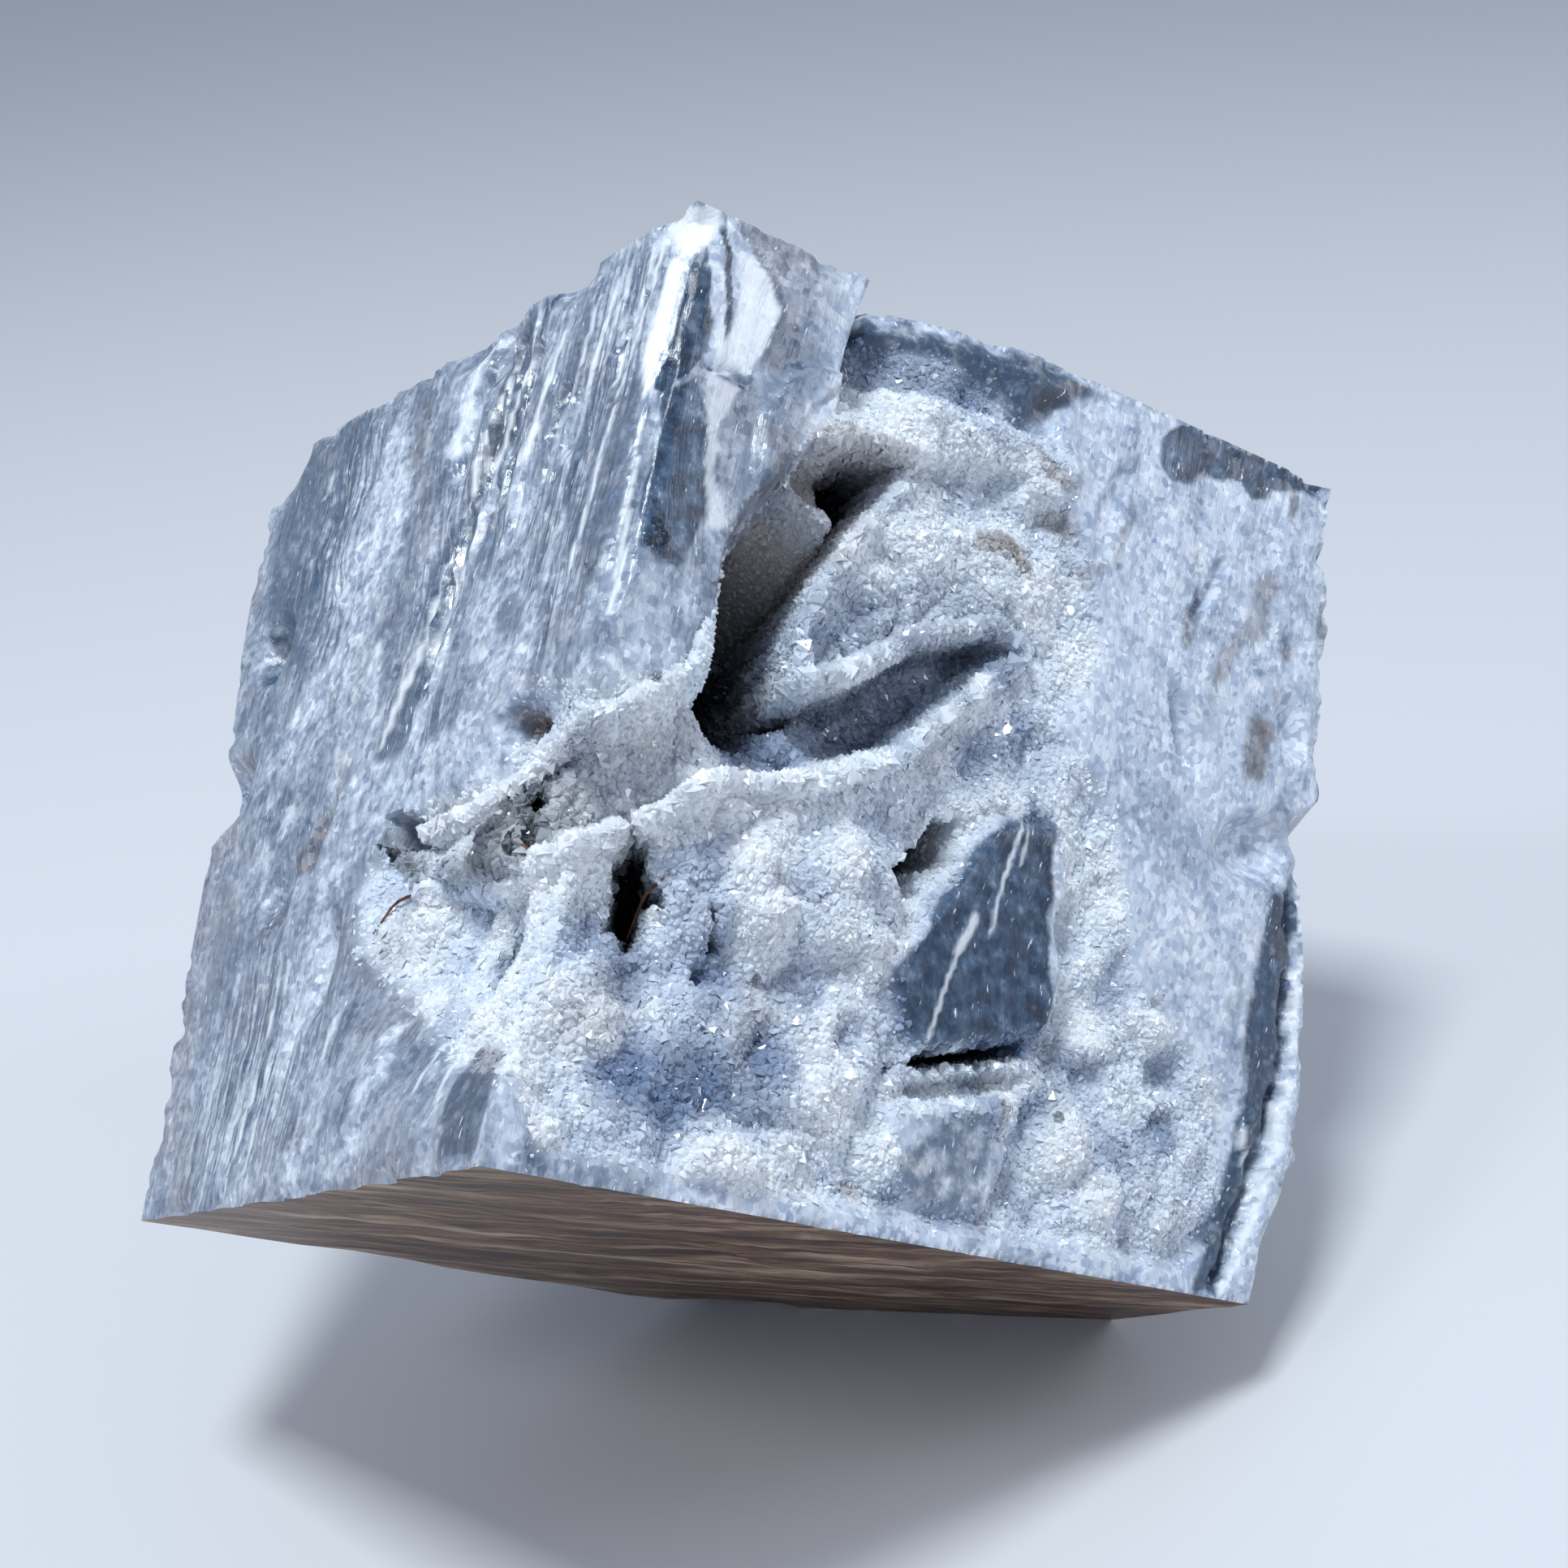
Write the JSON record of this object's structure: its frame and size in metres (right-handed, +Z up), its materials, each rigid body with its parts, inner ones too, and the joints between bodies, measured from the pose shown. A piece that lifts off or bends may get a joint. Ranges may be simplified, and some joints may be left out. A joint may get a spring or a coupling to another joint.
{
  "type": "sphalerite geode",
  "caption": "Cut and part-polished block of banded chalcedony on a cut-off corner, with an open druse face and a deep pocket beside its ridge.",
  "frame": {"origin": "centre of the bounding box's underside, on the surface that the geode stands on", "axes": "+Z up; +X to the right and +Y away, as seen from the front, where the ridge between the two upper faces points"},
  "size_m": [0.1064, 0.114, 0.0997],
  "materials": {
    "chalcedony": "polished banded chalcedony",
    "druse": "sugary milky quartz points"
  },
  "bodies": {
    "root": {"stone": "chalcedony", "druse_crust": "druse"}
  },
  "joints": []
}
